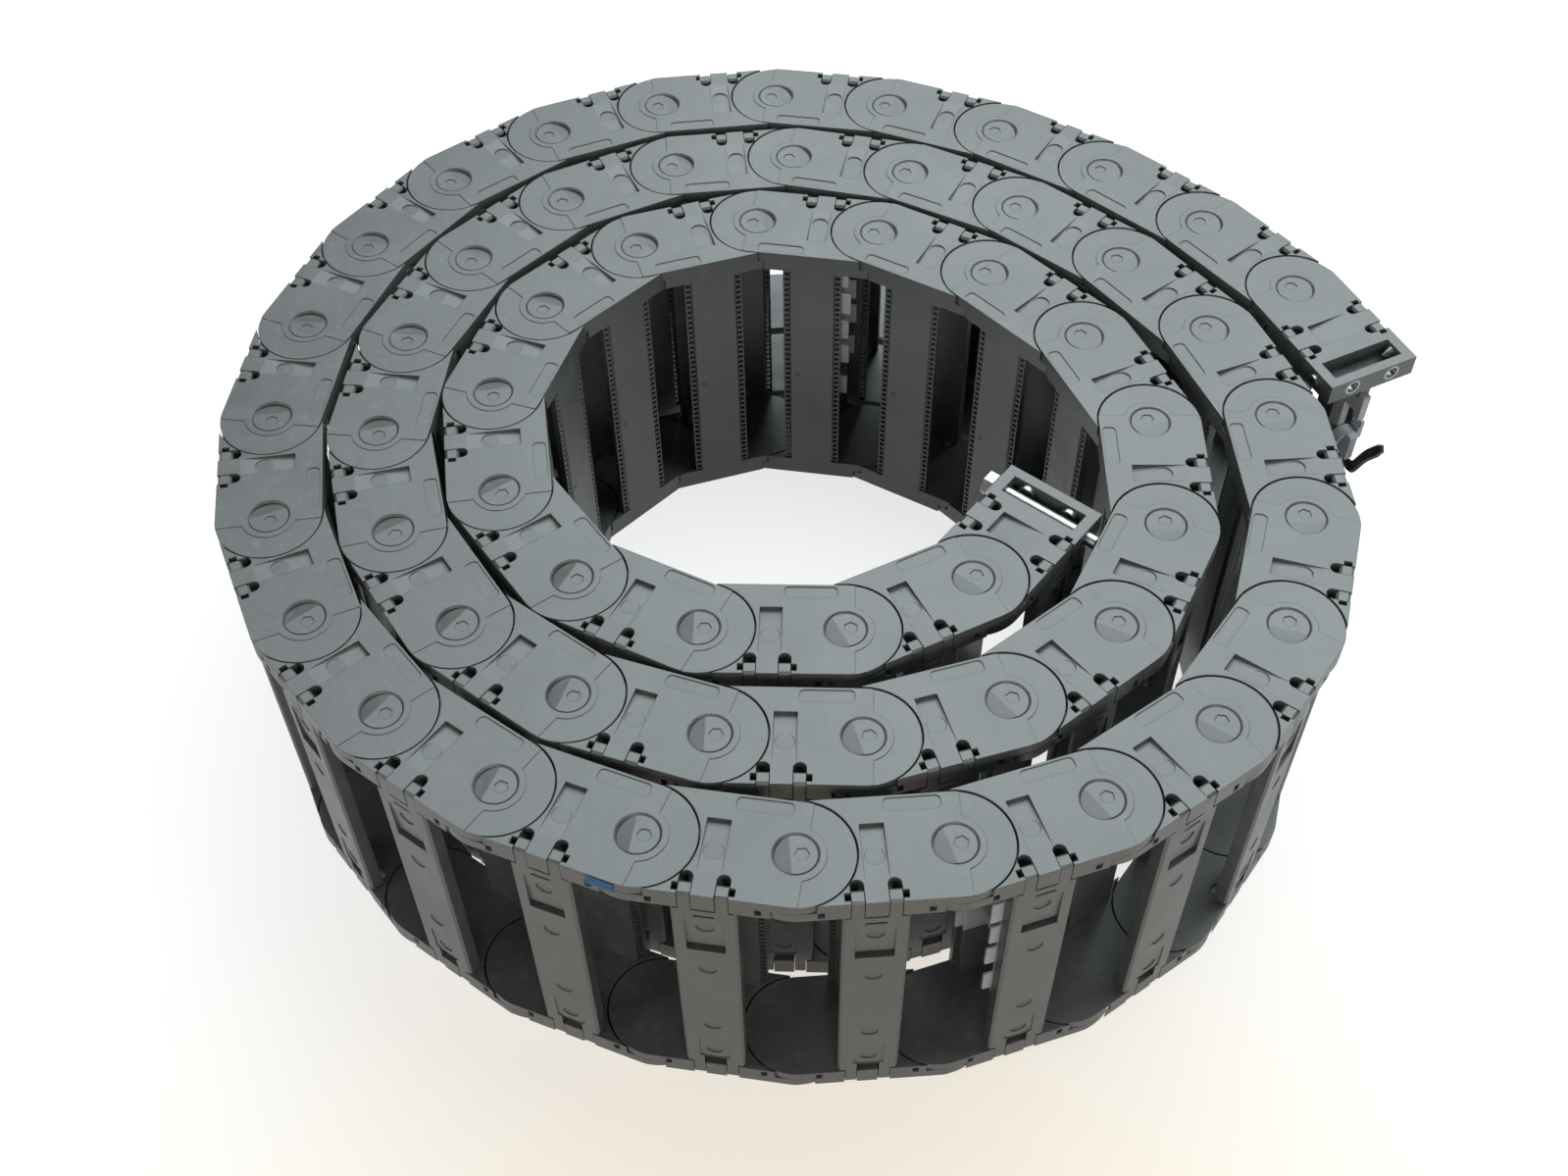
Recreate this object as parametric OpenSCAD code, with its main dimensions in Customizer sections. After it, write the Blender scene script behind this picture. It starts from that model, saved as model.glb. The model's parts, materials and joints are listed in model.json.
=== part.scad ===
// Cable drag chain, 46 mm pitch, lying on its side as a loose flat coil.
// Every link is one moulded frame (two offset side plates and a fixed crossbar)
// closed by a clip-on lid. The hinge axes stand upright, along Z.

/* [Chain] */
// Distance from one hinge axis to the next
pitch = 46; // [42:1:48]
// Clear width between the side plates
inner_width = 103; // [70:1:150]
// Clear height between lid and fixed crossbar
inner_height = 25; // [20:1:27]
// Height of a side plate
outer_height = 35; // [33:0.5:37]
// Thickness of a side plate, both lug layers together
plate = 8; // [7:0.5:10]
// Number of links between the end brackets
links = 54; // [40:1:54]

/* [Hinges] */
// Diameter of the boss that one link turns on
boss_d = 12.8; // [9:0.1:14]
// Radial running clearance of the boss in its hole
boss_clear = 0.08; // [0.04:0.01:0.1]
// Gap between a lug's round end and the plate that follows it
lug_gap = 0.6; // [0.3:0.05:0.8]
// Gap between the two lug layers
layer_gap = 0.2; // [0.15:0.05:0.4]
// Radius at the hinge axes at which the links stop bending
bend_radius = 96; // [90:1:120]
// Diameter of a stop peg
peg_d = 3; // [2:0.1:4]
// Distance of the stop pegs from the hinge axis
peg_reach = 12.5; // [10:0.1:13.5]
// Height of a stop peg
peg_h = 1.4; // [0.8:0.1:2]
// Depth of the boss's end below the plate's face
boss_sink = 0.4; // [0.2:0.1:0.8]
// Further depth of the boss's lead-in slope at its rim
lead_in = 1; // [0.5:0.1:1.5]

/* [Crossbars and lids] */
// Width of the fixed crossbar
bar_w = 18; // [16:0.5:20]
// Width of the clip-on lid
lid_w = 19.6; // [17:0.1:21]
// Distance of the lid's centre line from the hinge behind it
lid_at = 21.8; // [21:0.1:23]
// Distance between the two hooks at a lid's end
hook_spacing = 10.9; // [9:0.1:12]
// Width of a hook
hook_w = 3.7; // [2.5:0.1:4.5]
// Radial length of a hook
hook_l = 4.6; // [3.6:0.1:5.4]
// Depth of a hook notch into the side plate
notch_l = 7.8; // [7:0.1:9]
// Clearance round a hook in its notch
hook_clear = 0.2; // [0.15:0.05:0.3]
// Diameter of the pivot nubs on the hooks
nub_d = 2.2; // [1.6:0.1:2.6]
// Length of a pivot nub
nub_l = 1.5; // [1:0.1:2]
// Gap between the lid's bar and the side plates
lid_gap = 0.9; // [0.8:0.1:1.5]

/* [End brackets] */
// Distance from the hinge to the near side of the end block
block_at = 30.6; // [30:0.2:33]
// Length of the end block
block_l = 17.2; // [16:0.2:22]
// Height of the end block across the chain
block_h = 35.8; // [35:0.1:37]
// Length of the pocket in the end block, across the chain
pocket_w = 28; // [26:0.5:30]
// Width of the pocket, along the chain
pocket_l = 8; // [7:0.1:9]
// Depth of the pocket
pocket_d = 7; // [6:0.1:7.5]
// Thickness of the block's outer end wall
end_wall = 3.6; // [3:0.1:5]
// Distance between the two fixing holes of a block
hole_spacing = 16.5; // [14:0.5:18]
// Inner diameter of the metal bushes
bush_bore = 4.3; // [3.2:0.1:4.6]
// Outer diameter of the metal bushes
bush_d = 6.2; // [5.4:0.1:6.6]
// Diameter of the cross bolt and the set screws
bolt_d = 5; // [4:0.1:5.4]
// Least gap between the cross bolt's free end and the coil's next turn
bolt_gap = 0; // [0:0.1:3]
// Diameter of the inner bracket's pan-head screws
screw_d = 4; // [3:0.1:4.5]
// Diameter of their heads
head_d = 6.2; // [5.5:0.1:7]
// Height of their heads
head_h = 2; // [1.6:0.1:2.6]

/* [Strain relief] */
// Thickness of the comb
comb_t = 3; // [2:0.1:4]
// Number of its teeth
comb_teeth = 5; // [3:1:7]
// Width of the neck of a tooth
neck_w = 6; // [4:0.1:6.5]
// Width of the cable tie
tie_w = 4.4; // [2.5:0.1:4.8]
// Thickness of the cable tie
tie_t = 1.3; // [1:0.1:1.6]

/* [Coil] */
// Radius that the coil has narrowed to at its inner end
coil_inner = 91.7; // [91:0.5:110]
// Room from one turn to the next, beyond a plate's height
turn_room = 4.64; // [4.6:0.1:9]
// Direction of the outer end bracket's hinge from the centre
coil_start = 21.5; // [0:0.5:360]
// How far the outermost turn is out of round, as an oval
oval = 10.1; // [0:0.1:11]
// Direction of the oval's long axis
oval_dir = 148.3; // [0:0.1:180]
// How far it is out of round, as three flats
flats = 3.1; // [0:0.1:4]
// Direction of the first of the three bulges
flats_dir = 98.8; // [0:0.1:120]
// Number of turns after which the coil would be round
round_after = 4.63; // [4:0.01:8]
// Sideways drift of the centre in one turn, along X
drift_x = -2.92; // [-3:0.01:0]
// Sideways drift of the centre in one turn, along Y
drift_y = 1.38; // [0:0.01:3]
// Bend of the outer end bracket against the first link
outer_end_bend = 12.3; // [0:0.1:26]
// Bend of the inner end bracket against the last link
inner_end_bend = 25; // [0:0.1:27]

/* [Hidden] */
width = inner_width + 2 * plate;
layer = (plate - layer_gap) / 2;
lug_r = outer_height / 2;
clear_r = lug_r + lug_gap;
bar_t = (outer_height - inner_height) / 2;
stop_bend = 2 * asin(pitch / 2 / bend_radius);
skin = 0.1;               // lid set back from the plate's edges
mark_d = 0.35;            // depth of moulded marks
mark_w = 5.5;             // diameter of a lid's round marks
ramp_d = 1.6;             // depth of the deep end of a plate's recess
ramp_up = 8.4;            // reach of the recess to its deep end
ramp_down = 9.9;          // and to where it runs out
ramp_half = 3.6;          // half its length along the chain
date_d = 6;               // diameter of the disc in the recess
label_l = 17;             // blank label tablet on a plate
label_w = 4.6;
label_r = 1.6;
slope_from = 6.5;         // panel that slopes into a lid, from the side plate
slope_to = 22.5;
slope_slot = 2.4;         // slot at the end of the slope
upper_marks = [11.6, 36.3];
lower_marks = [10.5, 28.7];
latch_l = 5.4;            // ribbed window of a lid's latch
latch_w = 7.3;
latch_panel = 13;         // shallow panel behind it
rim = 0.7;                // chamfer round a boss's hole
hook_y = lug_r - skin - hook_l / 2;
nub_z = plate / 2;        // height of the lid's pivot above the plate's face
opening_lid = 17;         // the link whose lid is a part of its own
edge = 0.8;               // chamfer of lids and crossbars
tiny = 0.01;
$fn = 48;

// ---- the lie of the coil ----

coil_step = outer_height + turn_room;
coil_outer = sqrt(coil_inner * coil_inner + links * pitch * coil_step / PI);

// Point of the coil's curve at a direction that runs on past 360 degrees
function coil_point(a) =
    let (turn = a / 360,
         shape = 1 - turn / round_after,
         r = coil_outer - coil_step * turn
             + shape * (oval * cos(2 * (a - oval_dir)) + flats * cos(3 * (a - flats_dir))))
    [r * cos(a), r * sin(a)] + turn * [drift_x, drift_y];

// Step in direction whose chord is one pitch long
function chord_step(a, step, tries) =
    tries == 0 ? step
    : chord_step(a, step * pitch / norm(coil_point(a + step) - coil_point(a)), tries - 1);

function walk(a, n) = n == 0 ? [a] : concat([a], walk(a + chord_step(a, 14, 12), n - 1));

hinges = [for (a = walk(coil_start, links)) coil_point(a)];

function heading(p, q) = atan2(q[1] - p[1], q[0] - p[0]);
function link_heading(k) = heading(hinges[k - 1], hinges[k]);
outer_heading = link_heading(1) - outer_end_bend;
inner_heading = link_heading(links) + inner_end_bend;

// Far corners of both brackets, with the hinges the extreme points of the coil
function turned(p, a) = [p[0] * cos(a) - p[1] * sin(a), p[0] * sin(a) + p[1] * cos(a)];
block_end = block_at + block_l;
corners = [for (x = [block_at, block_end], s = [-1, 1])
              hinges[0] + turned([-x, s * block_h / 2], outer_heading)];
low = [for (i = [0, 1]) min(min([for (p = hinges) p[i]]) - lug_r, min([for (p = corners) p[i]]))];
high = [for (i = [0, 1]) max(max([for (p = hinges) p[i]]) + lug_r, max([for (p = corners) p[i]]))];
middle = (low + high) / 2;

// Places children drawn with a hinge at the origin and the chain running along +X
module at_hinge(k, direction)
    translate(hinges[k] - middle) rotate(direction) children();

// Repeats children, drawn for the lower side plate, on the upper one
module both_sides() {
    children();
    translate([0, 0, width]) mirror([0, 0, 1]) children();
}

// ---- side plates, drawn with the outer face at z = 0 ----

// Way of the neighbouring plate when it is bent as far as it goes
module bent_strip(side) {
    half_w = lug_r + lug_gap / 2;
    rotate(side * stop_bend) translate([side > 0 ? 0 : -pitch, -half_w])
        square([pitch, 2 * half_w]);
}

// Outer layer: hollow end round its first hinge, round lug on the second
module outer_layer(length)
    difference() {
        union() {
            translate([0, -lug_r]) square([length, outer_height]);
            translate([length, 0]) circle(lug_r, $fn = 96);
        }
        circle(clear_r, $fn = 96);
        bent_strip(-1);
    }

// Inner layer: round lug on the first hinge, hollow end round the second
module inner_layer(length)
    difference() {
        union() {
            circle(lug_r, $fn = 96);
            translate([0, -lug_r]) square([length, outer_height]);
        }
        translate([length, 0]) {
            circle(clear_r, $fn = 96);
            bent_strip(1);
        }
    }

// Round hole of an outer lug, the stepped end face and the groove for the stop peg
module outer_lug_cuts() {
    groove = stop_bend / 2 + asin((peg_d / 2 + lug_gap) / peg_reach);
    translate([0, 0, -1]) cylinder(r = boss_d / 2 + boss_clear, h = plate, $fn = 64);
    translate([0, 0, -tiny]) cylinder(r1 = boss_d / 2 + rim, r2 = boss_d / 2, h = rim, $fn = 64);
    translate([0, 0, layer - peg_h - layer_gap]) rotate(-groove)
        rotate_extrude(angle = 2 * groove, $fn = 96)
            translate([peg_reach - peg_d / 2 - layer_gap, 0])
                square([peg_d + 2 * layer_gap, plate]);
    difference() {
        translate([3, -lug_r - 1, -1]) cube([lug_r, outer_height + 2, 1 + mark_d * 0.7]);
        translate([0, 0, -2]) cylinder(r = boss_d / 2 + 2.7, h = 4, $fn = 64);
    }
}

// Boss and stop peg of an inner lug
module inner_lug_adds() {
    difference() {
        translate([0, 0, boss_sink]) cylinder(d = boss_d, h = plate - 1, $fn = 64);
        translate([boss_d / 7, 0, -tiny]) cylinder(d = 4.6, h = boss_sink + mark_d, $fn = 6);
        rotate([90, 0, 0]) translate([0, 0, -boss_d]) linear_extrude(2 * boss_d)
            polygon([[-boss_d / 8, boss_sink], [-boss_d / 2, boss_sink + lead_in],
                     [-boss_d, boss_sink + lead_in], [-boss_d, -1], [-boss_d / 8, -1]]);
    }
    rotate(-stop_bend / 2) translate([peg_reach, 0, layer + layer_gap - peg_h])
        cylinder(d = peg_d, h = peg_h + 1, $fn = 24);
}

// Notches for the two hooks of a lid in the plate edge at y = -lug_r
module hook_notches(with_slots) {
    w = hook_w + 2 * hook_clear;
    for (s = [-1, 1]) translate([s * hook_spacing / 2, 0, 0]) {
        translate([-w / 2, -lug_r - 1, -1]) cube([w, notch_l + 1 - w / 2, plate + 2]);
        translate([0, -lug_r + notch_l - w / 2, -1]) cylinder(d = w, h = plate + 2, $fn = 32);
        if (with_slots)
            translate([s > 0 ? 0 : -w / 2 - nub_l - hook_clear, -hook_y - nub_d / 2 - hook_clear, -1])
                cube([w / 2 + nub_l + hook_clear, nub_d + 2 * hook_clear,
                      nub_z + nub_d / 2 + hook_clear + 1]);
        translate([s * (hook_spacing / 2 + 5) - 1, -lug_r - 1, nub_z]) cube([2, 2.6, 3]);
    }
}

// Rectangle with round corners
module tablet(size, r) {
    translate([-size[0] / 2 + r, -size[1] / 2]) square([size[0] - 2 * r, size[1]]);
    translate([-size[0] / 2, -size[1] / 2 + r]) square([size[0], size[1] - 2 * r]);
    for (sx = [-1, 1], sy = [-1, 1])
        translate([sx * (size[0] / 2 - r), sy * (size[1] / 2 - r)]) circle(r, $fn = 24);
}

// Recess that ramps out of the face from a deep end at +y
module ramp(from_x, to_x, deep_y, flat_y)
    translate([from_x, 0, 0]) rotate([90, 0, 90]) linear_extrude(to_x - from_x)
        polygon([[deep_y, -1], [deep_y, ramp_d], [flat_y, tiny], [flat_y, -1]]);

// Moulded marks of a link's face: ramp with a date disc, and a blank label tablet
module face_marks() {
    x = lid_at + 0.7;
    ramp(x - ramp_half, x + ramp_half, ramp_up, -ramp_down);
    translate([x, -2, -tiny]) cylinder(d = date_d, h = ramp_d * 0.6, $fn = 32);
    translate([pitch * 0.76, lug_r - 3.1, -1]) linear_extrude(1 + mark_d)
        tablet([label_l, label_w], label_r);
}

module link_plate(with_slots)
    difference() {
        union() {
            linear_extrude(layer) outer_layer(pitch);
            translate([0, 0, layer - tiny])
                linear_extrude(layer_gap + 2 * tiny) intersection() {
                    outer_layer(pitch);
                    inner_layer(pitch);
                }
            translate([0, 0, layer + layer_gap]) linear_extrude(layer) inner_layer(pitch);
            inner_lug_adds();
        }
        translate([pitch, 0, 0]) outer_lug_cuts();
        translate([lid_at, 0, 0]) hook_notches(with_slots);
        face_marks();
    }

// ---- crossbars ----

// Bar section with chamfered outer edges, its outer face towards +y
module bar_section(w, t)
    polygon([[-w / 2, 0], [w / 2, 0], [w / 2, t - edge], [w / 2 - edge, t],
             [-w / 2 + edge, t], [-w / 2, t - edge]]);

module fixed_bar()
    translate([lid_at + 0.9, lug_r - bar_t, plate - tiny])
        linear_extrude(inner_width + 2 * tiny) bar_section(bar_w, bar_t - tiny);

// Box cut into a lid's outer face, between two distances from a side plate
module lid_cut(w, from, to, depth)
    translate([-w / 2, lug_r - skin - depth, plate + from]) cube([w, depth + 1, to - from]);

module round_mark(at, depth)
    translate([0, lug_r - skin - depth, plate + at]) rotate([-90, 0, 0])
        cylinder(d = mark_w, h = depth + 1, $fn = 24);

// Pivot end: slits between the hooks, and a panel that slopes down to a slot
module pivot_end_marks() {
    slit_w = hook_spacing - hook_w - 1;
    panel_w = lid_w * 0.6;
    lid_cut(slit_w, -1, 1, 1.4);
    lid_cut(slit_w, 3.6, 4.6, 1.4);
    translate([-panel_w / 2, lug_r - skin, plate]) rotate([90, 0, 90]) linear_extrude(panel_w)
        polygon([[1, slope_from], [-0.3, slope_from], [-1.1, slope_to], [1, slope_to]]);
    lid_cut(panel_w, slope_to - tiny, slope_to + slope_slot, bar_t + 1);
    round_mark(upper_marks[0], 1);
    round_mark(upper_marks[1], mark_d);
}

// Latch end: shallow panel and the ribbed window of the latch
module latch_end_marks() {
    lid_cut(lid_w * 0.5, latch_l, latch_l + latch_panel, mark_d);
    round_mark(lower_marks[0], 2 * mark_d);
    round_mark(lower_marks[1], mark_d);
    difference() {
        lid_cut(latch_w, -1, latch_l, 2.5);
        for (z = [2.2, 3.8]) translate([-4, lug_r - bar_t, plate + z]) cube([8, bar_t - 1.3, 0.7]);
    }
}

// Hook that drops into a notch of the side plate
module hook(nub_side) {
    translate([-hook_w / 2, lug_r - skin - hook_l, 0]) rotate([90, 0, 90])
        linear_extrude(hook_w)
            polygon([[0, hook_clear + edge], [edge, hook_clear], [hook_l - edge, hook_clear],
                     [hook_l, hook_clear + edge], [hook_l, plate + lid_gap + 1],
                     [0, plate + lid_gap + 1]]);
    if (nub_side != 0)
        translate([nub_side * hook_w / 4, hook_y, nub_z]) rotate([0, nub_side * 90, 0])
            cylinder(d = nub_d, h = hook_w / 4 + nub_l, $fn = 24);
}

// Clip-on lid, drawn round x = 0 with its outer face at y = +lug_r.
// Its nubs at the upper side plate are the pivot that it opens on.
module lid()
    difference() {
        union() {
            translate([0, lug_r - bar_t + skin, plate + lid_gap])
                linear_extrude(inner_width - 2 * lid_gap) bar_section(lid_w, bar_t - 2 * skin);
            for (s = [-1, 1]) translate([s * hook_spacing / 2, 0, 0]) {
                hook(0);
                translate([0, 0, width]) mirror([0, 0, 1]) hook(s);
            }
        }
        latch_end_marks();
        translate([0, 0, width]) mirror([0, 0, 1]) pivot_end_marks();
    }

// A lid on the outer side of a link; the chain's outer side is -y
module outer_side_lid(x) translate([x, 0, 0]) mirror([0, 1, 0]) lid();

// ---- links ----

module link_frame() {
    link_plate(false);
    translate([0, 0, width]) mirror([0, 0, 1]) link_plate(true);
    fixed_bar();
}

module link(k) at_hinge(k - 1, link_heading(k)) {
    color("dimgray") link_frame();
    if (k != opening_lid) color("darkslategray") outer_side_lid(lid_at);
}

module openable_lid()
    at_hinge(opening_lid - 1, link_heading(opening_lid))
        color("darkslategray") outer_side_lid(lid_at);

// ---- end brackets, drawn with the hinge at the origin and the block towards +x ----

pocket_at = block_end - end_wall - pocket_l;
screw_z = plate / 2 - 0.2;
bolt_at = pocket_at + bolt_d / 2 + 0.4;
bracket_lid_at = block_at - hook_spacing / 2 - hook_w / 2 + 0.5;

// The block with its pocket and cross bores, without the fixing holes
module block_cuts() {
    translate([pocket_at, -pocket_w / 2, -1]) cube([pocket_l, pocket_w, 1 + pocket_d]);
    translate([bolt_at, -block_h, screw_z]) rotate([-90, 0, 0])
        cylinder(d = bolt_d + 0.1, h = 2 * block_h, $fn = 32);
    for (s = [0, 1]) mirror([0, s, 0]) translate([bracket_lid_at, 0, 0]) hook_notches(true);
    ramp(block_at - 12, block_at - 1.6, 8, -8);
}

module fixing_holes(d)
    for (s = [-1, 1]) translate([pocket_at + 1, s * hole_spacing / 2, screw_z])
        rotate([0, 90, 0]) cylinder(d = d, h = block_l, $fn = 32);

module block()
    translate([block_at, -block_h / 2, 0]) cube([block_l, block_h, plate]);

// Side piece of the outer end bracket: an outer lug, the chain leaves towards -x
module outer_end_plate()
    difference() {
        union() {
            mirror([1, 0, 0]) linear_extrude(layer) {
                translate([0, -lug_r]) square([block_at + 1, outer_height]);
                circle(lug_r, $fn = 96);
            }
            translate([0, 0, layer - tiny]) linear_extrude(plate - layer + tiny) difference() {
                translate([-block_at - 1, -lug_r]) square([block_at + 1, outer_height]);
                circle(clear_r, $fn = 96);
                bent_strip(1);
            }
            mirror([1, 0, 0]) block();
        }
        mirror([1, 0, 0]) block_cuts();
        mirror([1, 0, 0]) fixing_holes(bush_d + 0.1);
        outer_lug_cuts();
    }

// Side piece of the inner end bracket: an inner lug with its boss
module inner_end_plate()
    difference() {
        union() {
            translate([0, 0, layer + layer_gap]) linear_extrude(layer) {
                translate([0, -lug_r]) square([block_at + 1, outer_height]);
                circle(lug_r, $fn = 96);
            }
            linear_extrude(layer + layer_gap + tiny) difference() {
                translate([0, -lug_r]) square([block_at + 1, outer_height]);
                circle(clear_r, $fn = 96);
                bent_strip(-1);
            }
            inner_lug_adds();
            block();
        }
        block_cuts();
        fixing_holes(screw_d + 0.1);
    }

// Both edges of a bracket are closed by lids
module bracket_lids(x) {
    outer_side_lid(x);
    translate([x, 0, 0]) lid();
}

module outer_bracket() at_hinge(0, outer_heading) {
    color("dimgray") both_sides() outer_end_plate();
    color("darkslategray") bracket_lids(-bracket_lid_at);
}

module inner_bracket() at_hinge(links, inner_heading) {
    color("dimgray") both_sides() inner_end_plate();
    color("darkslategray") bracket_lids(bracket_lid_at);
}

// ---- metal parts of the brackets ----

module bush() difference() {
    cylinder(d = bush_d, h = end_wall, $fn = 32);
    translate([0, 0, -1]) cylinder(d = bush_bore, h = end_wall + 2, $fn = 32);
}

// Pointed set screw from the block's side into its pocket
module set_screw(proud) {
    wall = (block_h - pocket_w) / 2;
    translate([0, block_h / 2 + proud, 0]) rotate([90, 0, 0]) difference() {
        union() {
            cylinder(d = bolt_d, h = wall + proud, $fn = 32);
            translate([0, 0, wall + proud]) cylinder(d1 = bolt_d, d2 = 0.8, h = 3.4, $fn = 32);
        }
        translate([0, 0, -tiny]) cylinder(d = 2.5, h = 2, $fn = 6);
    }
}

module outer_hardware() at_hinge(0, outer_heading) color("silver") both_sides()
    mirror([1, 0, 0]) {
        for (s = [-1, 1]) translate([block_end - end_wall, s * hole_spacing / 2, screw_z])
            rotate([0, 90, 0]) bush();
        translate([bolt_at, 0, screw_z]) {
            set_screw(1.6);
            mirror([0, 1, 0]) set_screw(-0.4);
        }
    }

// Pan-head screw with a cross recess, head towards -x
module pan_screw() difference() {
    union() {
        cylinder(d = screw_d, h = end_wall, $fn = 32);
        translate([0, 0, -head_h]) cylinder(d = head_d, h = head_h, $fn = 32);
    }
    for (a = [0, 90]) rotate(a) translate([-1.8, -0.45, -head_h - 1]) cube([3.6, 0.9, 2.1]);
}

// Way from the inner bracket's middle line along a side of the bolt to link k, which
// is as good as endless where the bolt points past that link
function way_to(k, side) =
    let (start = hinges[links] + turned([bolt_at + side * bolt_d / 2, 0], inner_heading),
         out = turned([0, -1], inner_heading),
         along = (hinges[k] - hinges[k - 1]) / pitch,
         inward = [-along[1], along[0]],
         way = ((start - hinges[k - 1]) * inward - lug_r) / -(out * inward),
         met = (start + way * out - hinges[k - 1]) * along)
    way > 0 && met >= 0 && met <= pitch ? way : coil_outer;

// Bolts are cut to half millimetres
bolt_seat = block_h / 2 + 0.2;
bolt_way = min([for (k = [1:links - 4], side = [-1, 1]) way_to(k, side)]);
bolt_l = floor(2 * (bolt_seat + bolt_way - bolt_gap)) / 2;

// Cross bolt with a hexagon head at the coil's inner side
module cross_bolt() translate([0, bolt_seat, 0]) rotate([90, 0, 0]) {
    cylinder(d = bolt_d, h = bolt_l, $fn = 32);
    translate([0, 0, -3.5]) cylinder(d = bolt_d * 1.75, h = 3.5, $fn = 6);
}

module inner_hardware() at_hinge(links, inner_heading) color("silver") both_sides() {
    for (s = [-1, 1]) translate([block_end - end_wall, s * hole_spacing / 2, screw_z])
        rotate([0, 90, 0]) pan_screw();
    translate([bolt_at, 0, screw_z]) cross_bolt();
}

// ---- strain relief in the outer bracket's mouth ----

comb_back = 13;             // near side of the comb's spine, from the block's end
comb_at = block_end - comb_back;
spine_w = 5;
neck_l = tie_w + 0.8;
tooth_pitch = inner_width / comb_teeth;
seat_gap = 0.1;

// Comb with tee-headed teeth that cables are tied to
module comb() translate([comb_at, -comb_t * 2 / 3, plate]) {
    translate([0, 0, seat_gap]) cube([spine_w, comb_t, inner_width - 2 * seat_gap]);
    for (i = [0:comb_teeth - 1]) translate([spine_w - tiny, 0, tooth_pitch * (i + 0.5)]) {
        translate([0, 0, -neck_w / 2]) cube([neck_l + 2, comb_t, neck_w]);
        translate([neck_l, 0, -neck_w / 2 - 2.5]) cube([3, comb_t, neck_w + 5]);
    }
}

// Cable tie round the neck of the last tooth but one, with its lock and cut tail
module tie() {
    loop_r = norm([neck_w, comb_t]) / 2 + 0.6 + tie_t;
    translate([comb_at + spine_w + 0.4, -comb_t / 6, plate + tooth_pitch * (comb_teeth - 1.5)]) {
        rotate([0, 90, 0]) difference() {
            cylinder(r = loop_r, h = tie_w, $fn = 32);
            translate([0, 0, -1]) cylinder(r = loop_r - tie_t, h = tie_w + 2, $fn = 32);
        }
        translate([0, -loop_r - 1.2, 0]) cube([tie_w, 2, 5]);
        translate([0, -loop_r - 1.2, 5 - tiny]) cube([tie_w, tie_t, 3]);
    }
}

module strain_relief() at_hinge(0, outer_heading) mirror([1, 0, 0]) {
    color("lightgray") comb();
    color("black") tie();
}

// ---- parts list ----

function link_name(k) = str("link_", k < 10 ? "0" : "", k);

inner_bracket();
inner_hardware();
for (k = [1:links]) link(k);
openable_lid();
outer_bracket();
outer_hardware();
strain_relief();
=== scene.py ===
# %% [markdown]
# # A coiled cable drag chain
#
# A drag chain carries cables to a moving machine axis. It is a row of moulded plastic
# links that hinge on round bosses. This one lies on its side as a loose spiral. The
# packed model already holds every link at its real size, so this lesson dresses it:
# it adds the camera, the light, the finishes, and the small pieces that the plain
# solids leave out, such as the toothed racks along the crossbars.

# %% Load the packed model
import bpy, bmesh, json, math, random
from mathutils import Matrix, Vector

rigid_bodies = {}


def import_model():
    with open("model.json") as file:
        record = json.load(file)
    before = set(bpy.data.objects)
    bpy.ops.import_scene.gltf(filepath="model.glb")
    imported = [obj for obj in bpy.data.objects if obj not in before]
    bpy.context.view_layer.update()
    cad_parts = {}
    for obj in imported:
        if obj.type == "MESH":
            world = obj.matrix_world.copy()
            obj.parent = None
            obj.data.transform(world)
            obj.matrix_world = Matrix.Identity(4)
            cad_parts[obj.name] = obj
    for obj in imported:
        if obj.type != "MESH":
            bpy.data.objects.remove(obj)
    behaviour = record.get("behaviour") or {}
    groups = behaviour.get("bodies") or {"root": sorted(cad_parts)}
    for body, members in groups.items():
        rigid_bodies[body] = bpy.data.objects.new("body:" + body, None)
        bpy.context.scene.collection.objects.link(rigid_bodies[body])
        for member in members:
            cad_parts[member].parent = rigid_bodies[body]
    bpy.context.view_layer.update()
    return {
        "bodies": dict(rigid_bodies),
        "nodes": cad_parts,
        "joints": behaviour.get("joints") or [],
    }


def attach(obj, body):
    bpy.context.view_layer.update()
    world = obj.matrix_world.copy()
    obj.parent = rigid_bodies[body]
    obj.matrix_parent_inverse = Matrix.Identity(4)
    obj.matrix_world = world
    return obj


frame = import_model()

# %% [markdown]
# Every piece that is added belongs to a link, so each link needs its own measuring
# frame. The hinge positions are in the packed record. Between two of them lies one
# link, and a matrix per link turns "along the chain, across it, up" into the scene.
# Reading the hinges is safer than copying numbers, because they follow the model.

# %% Where each link lies
MM = 0.001
hinge_at = {j["name"]: Vector(j["pos_m"]) for j in frame["joints"]}
links = sorted(n for n in frame["bodies"] if n.startswith("link_"))
middle = sorted(n for n in hinge_at if n.startswith("hinge_"))
points = [hinge_at[n] for n in ["outer_end_hinge", *middle, "inner_end_hinge"]]
width = 2 * points[0].z


def place(origin, ahead):
    """Matrix with x along the chain, z up, and its origin on the floor under a hinge."""
    turn = math.atan2(ahead.y, ahead.x)
    return Matrix.Translation((origin.x, origin.y, 0)) @ Matrix.Rotation(turn, 4, "Z")


link_frame = {n: place(a, b - a) for n, a, b in zip(links, points, points[1:])}
print("links:", len(links), "width in mm:", round(width / MM, 1))

# %% [markdown]
# The camera stands in front of the coil and looks down at it at about fifty degrees,
# which shows the upper side plates and the front lids together. It is set by its own
# three axes, because a slight roll is easier to give that way than with angles.

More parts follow.
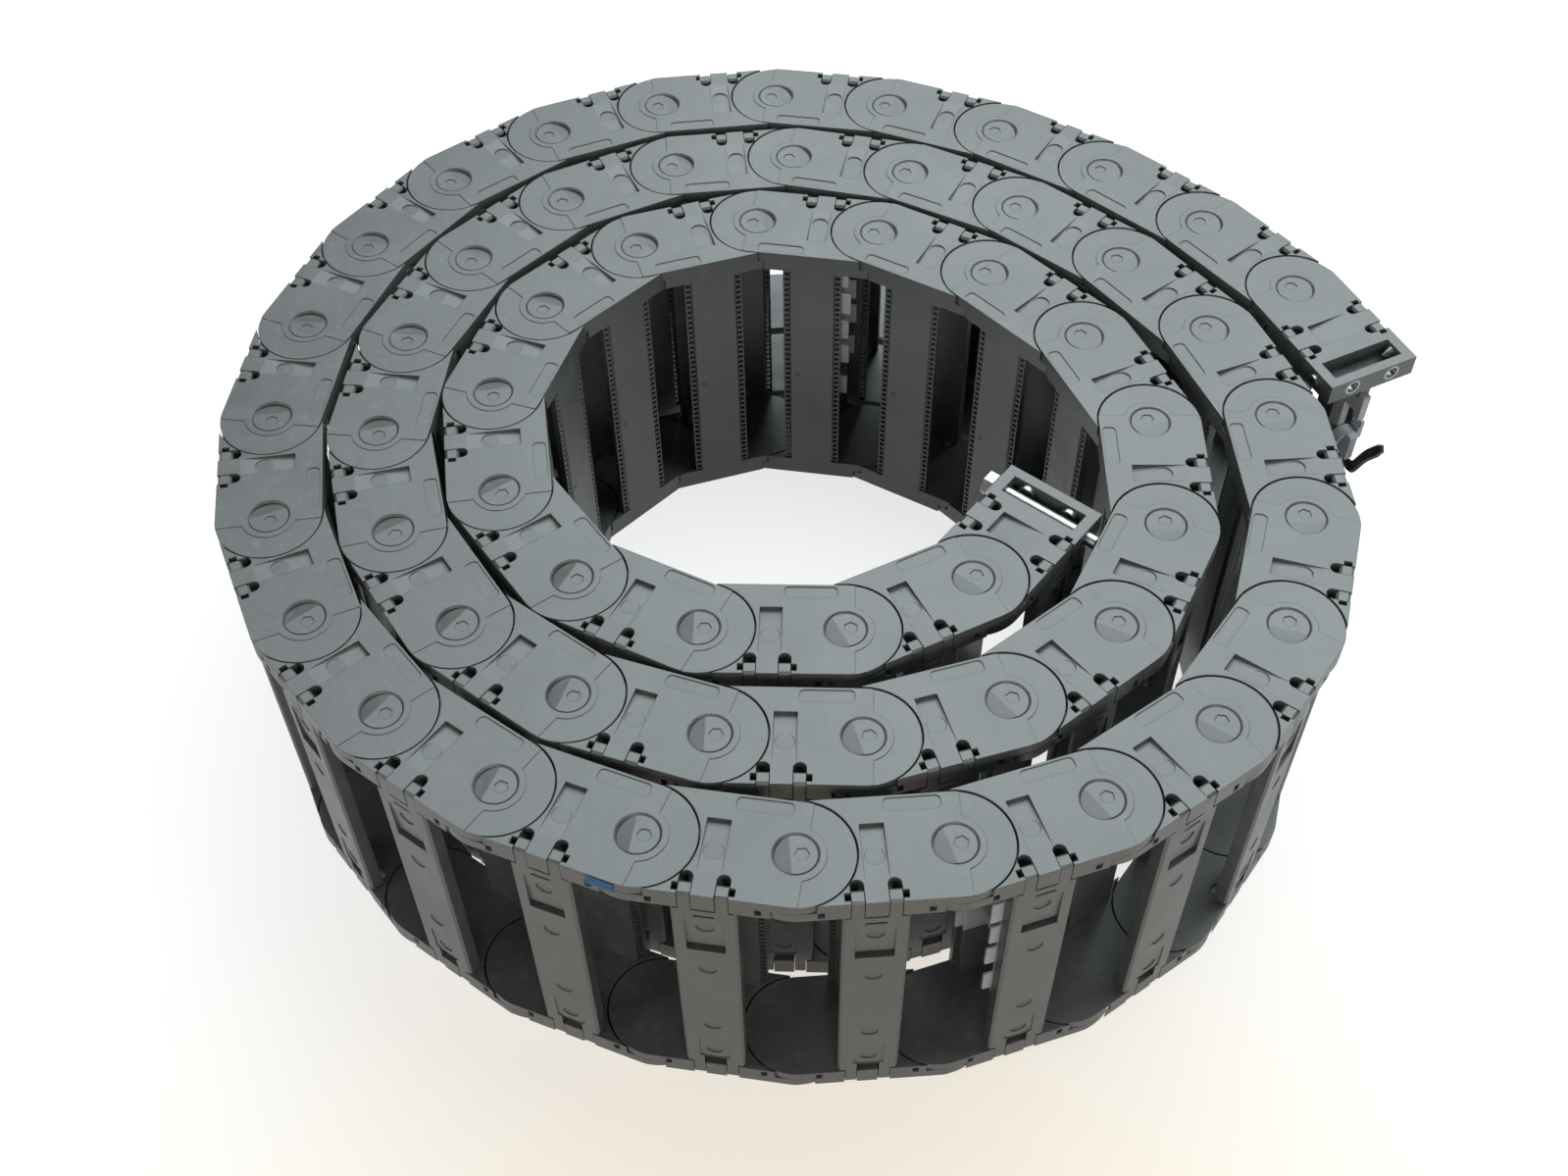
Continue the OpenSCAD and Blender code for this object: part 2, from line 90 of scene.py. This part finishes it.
# %% Camera
camera = bpy.data.objects.new("camera", bpy.data.cameras.new("camera"))
bpy.context.scene.collection.objects.link(camera)
bpy.context.scene.camera = camera
look = Vector((0.00086, 0.62359, -0.78175)).normalized()
right = Vector((0.99988, -0.01241, -0.00880)).normalized()
up = right.cross(look)
camera.matrix_world = Matrix.Translation((-0.01581, -0.44871, 0.58336)) @ Matrix(
    (right, up, -look)).transposed().to_4x4()
camera.data.sensor_width = 36
camera.data.lens = 42.875
camera.data.clip_start = 0.01
print("camera height in m:", camera.location.z)

# %% [markdown]
# A material is a graph of nodes, but maths reads better as a formula. This small class
# wraps one socket, so that `0.5 + 0.2 * cloud` adds the Math nodes by itself. The other
# way is to place and link every Math node by hand, which hides what is worked out.


# %% Shader formulas
class Signal:
    """One output socket of a material's graph, for use in formulas."""

    def __init__(self, finish, socket):
        self.finish, self.socket = finish, socket

    def maths(self, operation, a, b):
        return self.finish.node("Math", {"operation": operation}, {0: a, 1: b})

    def __add__(self, other): return self.maths("ADD", self, other)
    def __sub__(self, other): return self.maths("SUBTRACT", self, other)
    def __rsub__(self, other): return self.maths("SUBTRACT", other, self)
    def __mul__(self, other): return self.maths("MULTIPLY", self, other)
    __radd__, __rmul__ = __add__, __mul__


print("formula class:", Signal.__doc__)

# %% [markdown]
# The second class holds the material. Its one general method makes any node, and the
# short methods after it only name the nodes that this object's finishes use again and
# again: noise in the object's own coordinates, a colour mix, a soft threshold and a bump.


# %% Finishes node by node
class Finish:
    """A material whose graph is built node by node."""

    def __init__(self, name):
        self.material = bpy.data.materials.new(name)
        self.material.use_nodes = True
        self.tree = self.material.node_tree
        self.tree.nodes.clear()

    def node(self, kind, settings={}, inputs={}, output=0):
        """Any node: its settings are set first, then its sockets are filled."""
        made = self.tree.nodes.new("ShaderNode" + kind)
        for key, value in settings.items():
            setattr(made, key, value)
        for key, value in inputs.items():
            if isinstance(value, Signal):
                self.tree.links.new(value.socket, made.inputs[key])
            else:
                made.inputs[key].default_value = value
        return Signal(self, made.outputs[output])

    def place(self):
        return self.node("TexCoord", output="Object")

    def noise(self, scale, detail, roughness, distortion=0.0):
        return self.node("TexNoise", {}, {
            "Vector": self.place(), "Scale": scale, "Detail": detail,
            "Roughness": roughness, "Distortion": distortion}, "Fac")

    def mix(self, share, a, b):
        return self.node("Mix", {"data_type": "RGBA"}, {0: share, 6: a, 7: b}, 2)

    def band(self, value, low, high, curve="LINEAR"):
        """0 below low, 1 above high, and a slope between them."""
        return self.node("MapRange", {"interpolation_type": curve}, {0: value, 1: low, 2: high})

    def bump(self, height, distance, strength, normal=None):
        inputs = {"Height": height, "Distance": distance, "Strength": strength}
        if normal:
            inputs["Normal"] = normal
        return self.node("Bump", {}, inputs)

    def finish(self, shader):
        end = self.tree.nodes.new("ShaderNodeOutputMaterial")
        self.tree.links.new(shader.socket, end.inputs["Surface"])
        return self.material


print("finish class:", Finish.__doc__)

# %% [markdown]
# The coil lies on a white table with a faint warm patch in front, which is painted warm light.
# Seen by the camera, the table is partly a real white surface, which takes the soft shadow,
# and partly plain white, so that it looks bright without more lamp power, which would wash
# out the dark plastic. For the light that it throws back it is a dull grey, so the inside of
# the coil stays as dark as it is between the turns of a real chain.


# %% Table
# A painted patch of warm light: the table's colour turns warm near a point in front of the coil.
PAINTED_WARM_LIGHT, WHITE, DULL = (0.94, 0.83, 0.66, 1), (1.0, 1.0, 1.0, 1), (0.20, 0.20, 0.20, 1)
WARM_AT, WARM_REACH = (0.0, -0.36, 0.0), (0.02, 0.36)
PLAIN_SHARE = 0.76


def white_table():
    f = Finish("white_table")
    away = f.node("VectorMath", {"operation": "DISTANCE"}, {0: f.place(), 1: WARM_AT}, "Value")
    # Painted warm light: the colour is warm near the point in front and white further away.
    painted_light_tint = f.mix(f.band(away, *WARM_REACH, "SMOOTHSTEP"), PAINTED_WARM_LIGHT, WHITE)
    shown = f.node("Emission", {}, {"Color": painted_light_tint, "Strength": 1.0})
    white = f.node("BsdfDiffuse", {}, {"Color": painted_light_tint})
    table_top = f.node("MixShader", {}, {0: PLAIN_SHARE, 1: white, 2: shown})
    dull = f.node("BsdfDiffuse", {}, {"Color": DULL})
    rays = f.tree.nodes.new("ShaderNodeLightPath")
    seen = Signal(f, rays.outputs["Is Camera Ray"]) + Signal(f, rays.outputs["Is Glossy Ray"])
    return f.finish(f.node("MixShader", {}, {0: seen, 1: dull, 2: table_top}))


def make_table():
    mesh = bpy.data.meshes.new("table")
    bm = bmesh.new()
    bmesh.ops.create_grid(bm, x_segments=8, y_segments=8, size=3.0)
    bm.to_mesh(mesh)
    bm.free()
    table = bpy.data.objects.new("table", mesh)
    table.location.z = -0.0002
    mesh.materials.append(white_table())
    bpy.context.scene.collection.objects.link(table)
    return table


table = make_table()
print("table side in m:", table.dimensions.x)

# %% [markdown]
# A light tent gives this kind of picture. The widest lamp hangs behind and above the
# coil, where the upper plates mirror it into the camera, which makes nearly black
# plastic look grey. A small one at the left and a warm one in front pick out the lids.
# Wide lamps make soft shadows, and an even surround opens them a little.


# %% Light
def softbox(name, at, size, watts, colour):
    lamp = bpy.data.lights.new(name, "AREA")
    lamp.shape, lamp.size, lamp.size_y = "RECTANGLE", size[0], size[1]
    lamp.energy, lamp.color = watts, colour
    box = bpy.data.objects.new(name, lamp)
    box.location = at
    box.rotation_mode = "QUATERNION"
    box.rotation_quaternion = (-Vector(at)).to_track_quat("-Z", "Y")
    bpy.context.scene.collection.objects.link(box)


softbox("tent_behind", (0.32, 0.66, 1.30), (1.8, 1.6), 46, (0.90, 1.0, 1.02))
softbox("window_side", (-1.3, -0.7, 0.9), (0.9, 0.9), 5, (1.0, 0.98, 0.95))
softbox("front_fill", (0.3, -1.7, 0.75), (1.6, 0.6), 15, (1.0, 0.97, 0.93))

# %% [markdown]
# The surround is the world. It gives a weak even light, and rays from the camera that
# miss the table see plain white instead, so no dark horizon shows from a low side.


# %% Surround
def surround(light):
    """World that gives a little even light and is plain white to the camera."""
    world = bpy.data.worlds.new("surround")
    world.use_nodes = True
    tree = world.node_tree
    even, shown = tree.nodes["Background"], tree.nodes.new("ShaderNodeBackground")
    for background, strength in ((even, light), (shown, 1.0)):
        background.inputs["Color"].default_value = WHITE
        background.inputs["Strength"].default_value = strength
    rays, mix = tree.nodes.new("ShaderNodeLightPath"), tree.nodes.new("ShaderNodeMixShader")
    tree.links.new(rays.outputs["Is Camera Ray"], mix.inputs[0])
    tree.links.new(even.outputs[0], mix.inputs[1])
    tree.links.new(shown.outputs[0], mix.inputs[2])
    tree.links.new(mix.outputs[0], tree.nodes["World Output"].inputs["Surface"])
    bpy.context.scene.world = world


surround(0.14)
bpy.context.scene.view_settings.view_transform = "Standard"
print("surround:", bpy.context.scene.world.name)

# %% [markdown]
# The links are moulded from glass-filled nylon. Its colour is nearly black, and most of
# the grey that the eye sees is sheen from the tent. The surface has a fine spark-eroded
# texture, cloudy patches where the melt flowed, pale rubbed spots and a little dust.
# Noise at three sizes gives these: centimetres for the flow, millimetres for the
# rubbing, tenths of a millimetre for the texture, which only goes into the bump. A
# Bevel node rounds the edges for the light alone, which draws the thin bright lines
# that every moulded edge has.


# %% Chain plastic
RUBBED, DUST = (0.17, 0.175, 0.175, 1), (0.42, 0.42, 0.40, 1)
EDGE_ROUNDING = 0.35 * MM


def moulded_plastic(name, dark, light, shine=0.42):
    f = Finish(name)
    flow = f.noise(38, 4, 0.6, distortion=1.2)
    cloud = f.noise(11, 2, 0.5)
    rub = f.band(f.noise(260, 5, 0.65), 0.54, 0.74)
    dust = f.band(f.noise(1300, 2, 0.5), 0.69, 0.77)
    base = f.mix(f.band(flow * 0.6 + cloud * 0.4, 0.36, 0.64), (*dark, 1), (*light, 1))
    base = f.mix(0.30 * rub, base, RUBBED)
    base = f.mix(0.24 * dust, base, DUST)
    texture = f.noise(2600, 2, 0.6)
    wave = f.noise(90, 3, 0.5)
    soft_edge = f.node("Bevel", {"samples": 4}, {"Radius": EDGE_ROUNDING})
    relief = f.bump(texture, 0.06 * MM, 0.7, f.bump(wave, 0.8 * MM, 0.12, soft_edge))
    rough = shine + 0.30 * (flow - 0.5) + 0.12 * rub
    return f.finish(f.node("BsdfPrincipled", {}, {
        "Base Color": base, "Roughness": rough, "Normal": relief,
        "Specular IOR Level": 0.62}))


chain_plastic = moulded_plastic("chain_plastic", (0.052, 0.055, 0.055), (0.074, 0.078, 0.078))
print("plastic:", chain_plastic.name)

# %% [markdown]
# Screws, bolts and bushes are zinc plated. Zinc is a bright metal with a slightly
# milky, uneven shine, so it is fully metallic with a cloudy roughness and a very fine
# grain.


# %% Zinc-plated steel
def zinc_steel():
    f = Finish("zinc_steel")
    cloud = f.noise(420, 3, 0.6)
    base = f.mix(cloud, (0.17, 0.18, 0.19, 1), (0.36, 0.36, 0.35, 1))
    return f.finish(f.node("BsdfPrincipled", {}, {
        "Base Color": base, "Metallic": 1.0, "Roughness": 0.24 + 0.18 * cloud,
        "Normal": f.bump(f.noise(1800, 2, 0.5), 0.03 * MM, 0.5)}))


zinc = zinc_steel()
print("metal:", zinc.name)

# %% [markdown]
# The comb and the separators are a paler plastic, and the cable tie is black nylon. Both
# come out of a mould as the links do, so the same function makes them with other colours.

# %% Other plastics
comb_plastic = moulded_plastic("comb_plastic", (0.33, 0.35, 0.37), (0.42, 0.44, 0.46), 0.5)
tie_nylon = moulded_plastic("tie_nylon", (0.012, 0.012, 0.012), (0.020, 0.019, 0.018), 0.38)
print("other plastics:", comb_plastic.name, tie_nylon.name)

# %% [markdown]
# The packed solids keep their shapes and only get better materials. The glTF import
# gives each one a slot, and a slot can simply be pointed at another material.

# %% Give the solids their finishes
finish_of = {"inner_hardware": zinc, "outer_hardware": zinc, "strain_relief": comb_plastic}
for name, solid in frame["nodes"].items():
    for slot in solid.material_slots:
        slot.material = finish_of.get(name, chain_plastic)
print("dressed:", len(frame["nodes"]))

# %% [markdown]
# The added pieces are built in the frame of the link or bracket that they sit on, in
# millimetres. Two shapes are enough for most of them: a block with chamfered edges, as
# no moulded edge is sharp, and a turned shape from a profile of heights and radii.


# %% Two basic shapes
def block(bm, low, high, chamfer):
    """Chamfered box between two corners."""
    corners = [[a, b] for a, b in zip(low, high)]
    made = bmesh.ops.create_cube(bm, size=1)["verts"]
    for v in made:
        v.co = Vector([c[0] if side < 0 else c[1] for side, c in zip(v.co, corners)])
    edges = list({e for v in made for e in v.link_edges})
    bmesh.ops.bevel(bm, geom=edges, offset=chamfer, segments=1, affect="EDGES")


def turned(bm, profile, where, sides):
    """Solid of revolution from (height, radius) pairs, placed by a matrix."""
    rings = []
    for height, radius in profile:
        rings.append([bm.verts.new(where @ Vector((
            radius * math.cos(2 * math.pi * i / sides),
            radius * math.sin(2 * math.pi * i / sides), height))) for i in range(sides)])
    for a, b in zip(rings, rings[1:]):
        for i in range(sides):
            bm.faces.new((a[i], a[i - 1], b[i - 1], b[i]))
    bm.faces.new(rings[0])
    bm.faces.new(list(reversed(rings[-1])))


print("shapes:", block.__doc__, turned.__doc__)

# %% [markdown]
# A mesh that many links share is made once and turned from millimetres into metres.
# Every object then rides on the body of its link, so that it goes along when the chain
# unrolls.


# %% From shape to piece
def mesh_of(name, fill, finish):
    """Mesh in metres from a function that fills a bmesh in millimetres."""
    bm = bmesh.new()
    fill(bm)
    bmesh.ops.recalc_face_normals(bm, faces=bm.faces)
    bmesh.ops.scale(bm, vec=(MM, MM, MM), verts=bm.verts)
    mesh = bpy.data.meshes.new(name)
    bm.to_mesh(mesh)
    bm.free()
    mesh.materials.append(finish)
    return mesh


def piece(name, mesh, body, where, slot=None):
    """Object at a link's or bracket's frame that rides on its body."""
    made = bpy.data.objects.new(name, mesh)
    made.matrix_world = where
    bpy.context.scene.collection.objects.link(made)
    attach(made, body)


print("pieces:", piece.__doc__)

# %% [markdown]
# Each fixed crossbar has a toothed rack along both edges, which separators snap into.
# A rack is a thin rail with a tooth every 2.6 mm between it and the bar, so the gaps
# show as a row of small dark windows. The dot near the middle is the mark of the gate
# that the bar was filled through.

# %% Racks
BAR_AT, BAR_HALF, BAR_FACE = 22.7, 9.0, 17.5   # middle, half width and inner face
SIDE_PLATE = 8
CLEAR_TOP = round(width / MM) - SIDE_PLATE
TEETH, TOOTH_PITCH, TOOTH_LENGTH = 40, 2.6, 1.0
GATE = [(0, 1.2), (0.10, 1.1), (0.12, 0.7), (0.02, 0.55), (0.02, 0.1)]


def across(side, near, far):
    """Two distances from the crossbar's middle, as x values in order."""
    return sorted((BAR_AT + side * near, BAR_AT + side * far))


def rack(bm):
    for side in (-1, 1):
        x0, x1 = across(side, BAR_HALF + 1.5, BAR_HALF + 2.1)
        block(bm, (x0, BAR_FACE - 2.6, SIDE_PLATE), (x1, BAR_FACE - 0.4, CLEAR_TOP), 0.12)
        x0, x1 = across(side, BAR_HALF - 0.2, BAR_HALF + 1.6)
        for i in range(TEETH):
            z = SIDE_PLATE + 0.3 + TOOTH_PITCH * i
            block(bm, (x0, BAR_FACE - 2.5, z), (x1, BAR_FACE - 0.55, z + TOOTH_LENGTH), 0.08)
    gate_at = Matrix.Translation((BAR_AT + 5.6, BAR_FACE - 0.02, 57))
    turned(bm, GATE, gate_at @ Matrix.Rotation(math.radians(-90), 4, "X"), 20)


rack_mesh = mesh_of("rack", rack, chain_plastic)
for link in links:
    piece("rack_" + link, rack_mesh, link, link_frame[link], "chain_plastic")
print("racks:", len(links), "faces in each:", len(rack_mesh.polygons))

# %% [markdown]
# Two links carry a set of separators. A set has a strip behind the lid and one at the
# bar, both with castellated edges that stand out a little beside the lid, and between
# them four dividers with a window, which keep the cables apart. The feet of the
# castellated edges differ, so they are a short list and not a pattern.

# %% Separators
SEPARATOR_LINKS = ["link_19", "link_46"]
FEET = [  # lower and upper end of each foot, and how far it stands out
    (100.5, 108.5, 1.6), (87, 97.5, 2.6), (74, 83.5, 2.0), (61, 70.5, 2.4), (44, 53.5, 1.9)]
STRIP = (40, 109.5)
STRIPS_AT = ((-12.3, -10.8), (10.8, 12.3))
DIVIDER_REACH = 10.9


def castellated_strip(bm, y0, y1):
    block(bm, (BAR_AT - 10.4, y0, STRIP[0]), (BAR_AT + 9.2, y1, STRIP[1]), 0.25)
    y0, y1 = y0 + 0.1, y1 - 0.1
    for low, high, out in FEET:
        block(bm, (BAR_AT - 11.7 - out, y0, low), (BAR_AT - 9, y1, high), 0.3)
        block(bm, (BAR_AT + 9, y0, low - 4), (BAR_AT + 8.9 + out, y1, high - 3), 0.3)


def divider(bm, z):
    for x0, x1 in ((-9, -3.5), (3.5, 9)):
        block(bm, (BAR_AT + x0, -DIVIDER_REACH, z - 1.2), (BAR_AT + x1, DIVIDER_REACH, z + 1.2), 0.3)
    for y0, y1 in ((-DIVIDER_REACH, -6.5), (6.5, DIVIDER_REACH)):
        block(bm, (BAR_AT - 4, y0, z - 1.1), (BAR_AT + 4, y1, z + 1.1), 0.3)


def separators(bm):
    for y0, y1 in STRIPS_AT:
        castellated_strip(bm, y0, y1)
    for low, high, _ in FEET[:4]:
        divider(bm, (low + high) / 2)


separator_mesh = mesh_of("separators", separators, comb_plastic)
for link in SEPARATOR_LINKS:
    piece("separators_" + link, separator_mesh, link, link_frame[link], "comb_plastic")
print("separator sets:", SEPARATOR_LINKS)

# %% [markdown]
# The long end of the cable tie still points away from the bracket. It is a thin ribbed
# strap that springs into a gentle curve, so it is drawn as a row of cross-sections
# along a smooth curve through a few points. The bracket's own frame is the first link's,
# turned back by the bend of the hinge between them, which is the end of its travel.

# %% Strap of the cable tie
end_bend = next(max(j["range_deg"]) for j in frame["joints"] if j["name"] == "outer_end_hinge")
bracket_frame = place(points[0], points[1] - points[0]) @ Matrix.Rotation(
    -math.radians(end_bend), 4, "Z")
STRAP = [Vector(p) for p in (
    (-42, -3.6, 75), (-44.5, -4.2, 69), (-49, -3.2, 70), (-55.1, -1.4, 82.6), (-63, 0.6, 95))]
STRAP_HALF, STRAP_THICK, STRAP_STEPS, RIB = 2.3, 1.2, 90, 0.16
LEAN = Vector((0.35, 1, 0.15))   # the strap's flat side faces about this way


def along(path, t):
    """Point on a smooth curve through the path's points."""
    t = min(max(t, 0), 0.9999) * (len(path) - 1)
    i, u = int(t), t % 1
    p = [path[max(0, min(len(path) - 1, i + k))] for k in (-1, 0, 1, 2)]
    return 0.5 * (2 * p[1] + (p[2] - p[0]) * u + (2 * p[0] - 5 * p[1] + 4 * p[2] - p[3]) * u ** 2
                  + (3 * p[1] - p[0] - 3 * p[2] + p[3]) * u ** 3)


def strap_section(rib):
    """Points round the strap, as shares of its half width and heights."""
    top = STRAP_THICK - 0.25
    return [(-1, 0), (-0.72, top), (-0.6, top - rib), (0.6, top - rib),
            (0.72, top), (1, 0), (0.9, -0.2), (-0.9, -0.2)]


def strap(bm):
    rows = []
    for i in range(STRAP_STEPS + 1):
        t = i / STRAP_STEPS
        here, ahead = along(STRAP, t), along(STRAP, t + 0.01) - along(STRAP, t - 0.01)
        flat = LEAN.cross(ahead).normalized()
        face = ahead.cross(flat).normalized()
        half = STRAP_HALF * (1 if t < 0.9 else 1 - 4 * (t - 0.9))
        rows.append([bm.verts.new(here + flat * a * half + face * b)
                     for a, b in strap_section(RIB * (i % 2))])
    for a, b in zip(rows, rows[1:]):
        for k in range(len(a)):
            bm.faces.new((a[k], a[k - 1], b[k - 1], b[k]))
    bm.faces.new(rows[0])
    bm.faces.new(list(reversed(rows[-1])))


strap_mesh = mesh_of("strap", strap, tie_nylon)
piece("tie_strap", strap_mesh, "outer_bracket", bracket_frame)
print("strap faces:", len(strap_mesh.polygons))

# %% [markdown]
# A scrap of blue tape is stuck to the plate edge of one link. It is a small sheet with a
# ragged lower edge, crumpled by fixed random heights. A grid of points is enough here,
# as cloth simulation would be far too much for a scrap of nine by four millimetres.

# %% Tape
TAPE_START, TAPE_FACE, TAPE_TOP = 37.5, -17.62, 118.7
TAPE_COLUMNS, TAPE_ROWS = 13, 5


def blue_tape():
    f = Finish("blue_tape")
    crease_and_painted_shade = f.noise(700, 4, 0.6)
    return f.finish(f.node("BsdfPrincipled", {}, {
        # The colour follows the crease heights: darker blue in the hollows is painted shade, and
        # lighter blue on the ridges is painted light.
        "Base Color": f.mix(crease_and_painted_shade, (0.03, 0.13, 0.36, 1), (0.10, 0.30, 0.58, 1)),
        "Roughness": 0.35 + 0.2 * crease_and_painted_shade, "Normal": f.bump(crease_and_painted_shade, 0.0004, 0.6)}))


def tape(bm):
    dice = random.Random(7)
    grid = {}
    for i in range(TAPE_COLUMNS):
        for k in range(TAPE_ROWS):
            ragged = dice.uniform(-0.5, 0.5)
            x = TAPE_START + 0.75 * i + ragged * 0.6
            z = TAPE_TOP - 1.05 * k
            if k == TAPE_ROWS - 1:
                z += ragged - 0.5 * abs(i - 6) / 6
            grid[i, k] = bm.verts.new((x, TAPE_FACE - dice.uniform(0.0, 0.45), z))
    for i in range(TAPE_COLUMNS - 1):
        for k in range(TAPE_ROWS - 1):
            bm.faces.new((grid[i, k], grid[i + 1, k], grid[i + 1, k + 1], grid[i, k + 1]))
    bmesh.ops.solidify(bm, geom=list(bm.faces), thickness=0.15)


tape_mesh = mesh_of("tape", tape, blue_tape())
piece("tape_scrap", tape_mesh, "link_16", link_frame["link_16"])
print("tape faces:", len(tape_mesh.polygons))

# %% [markdown]
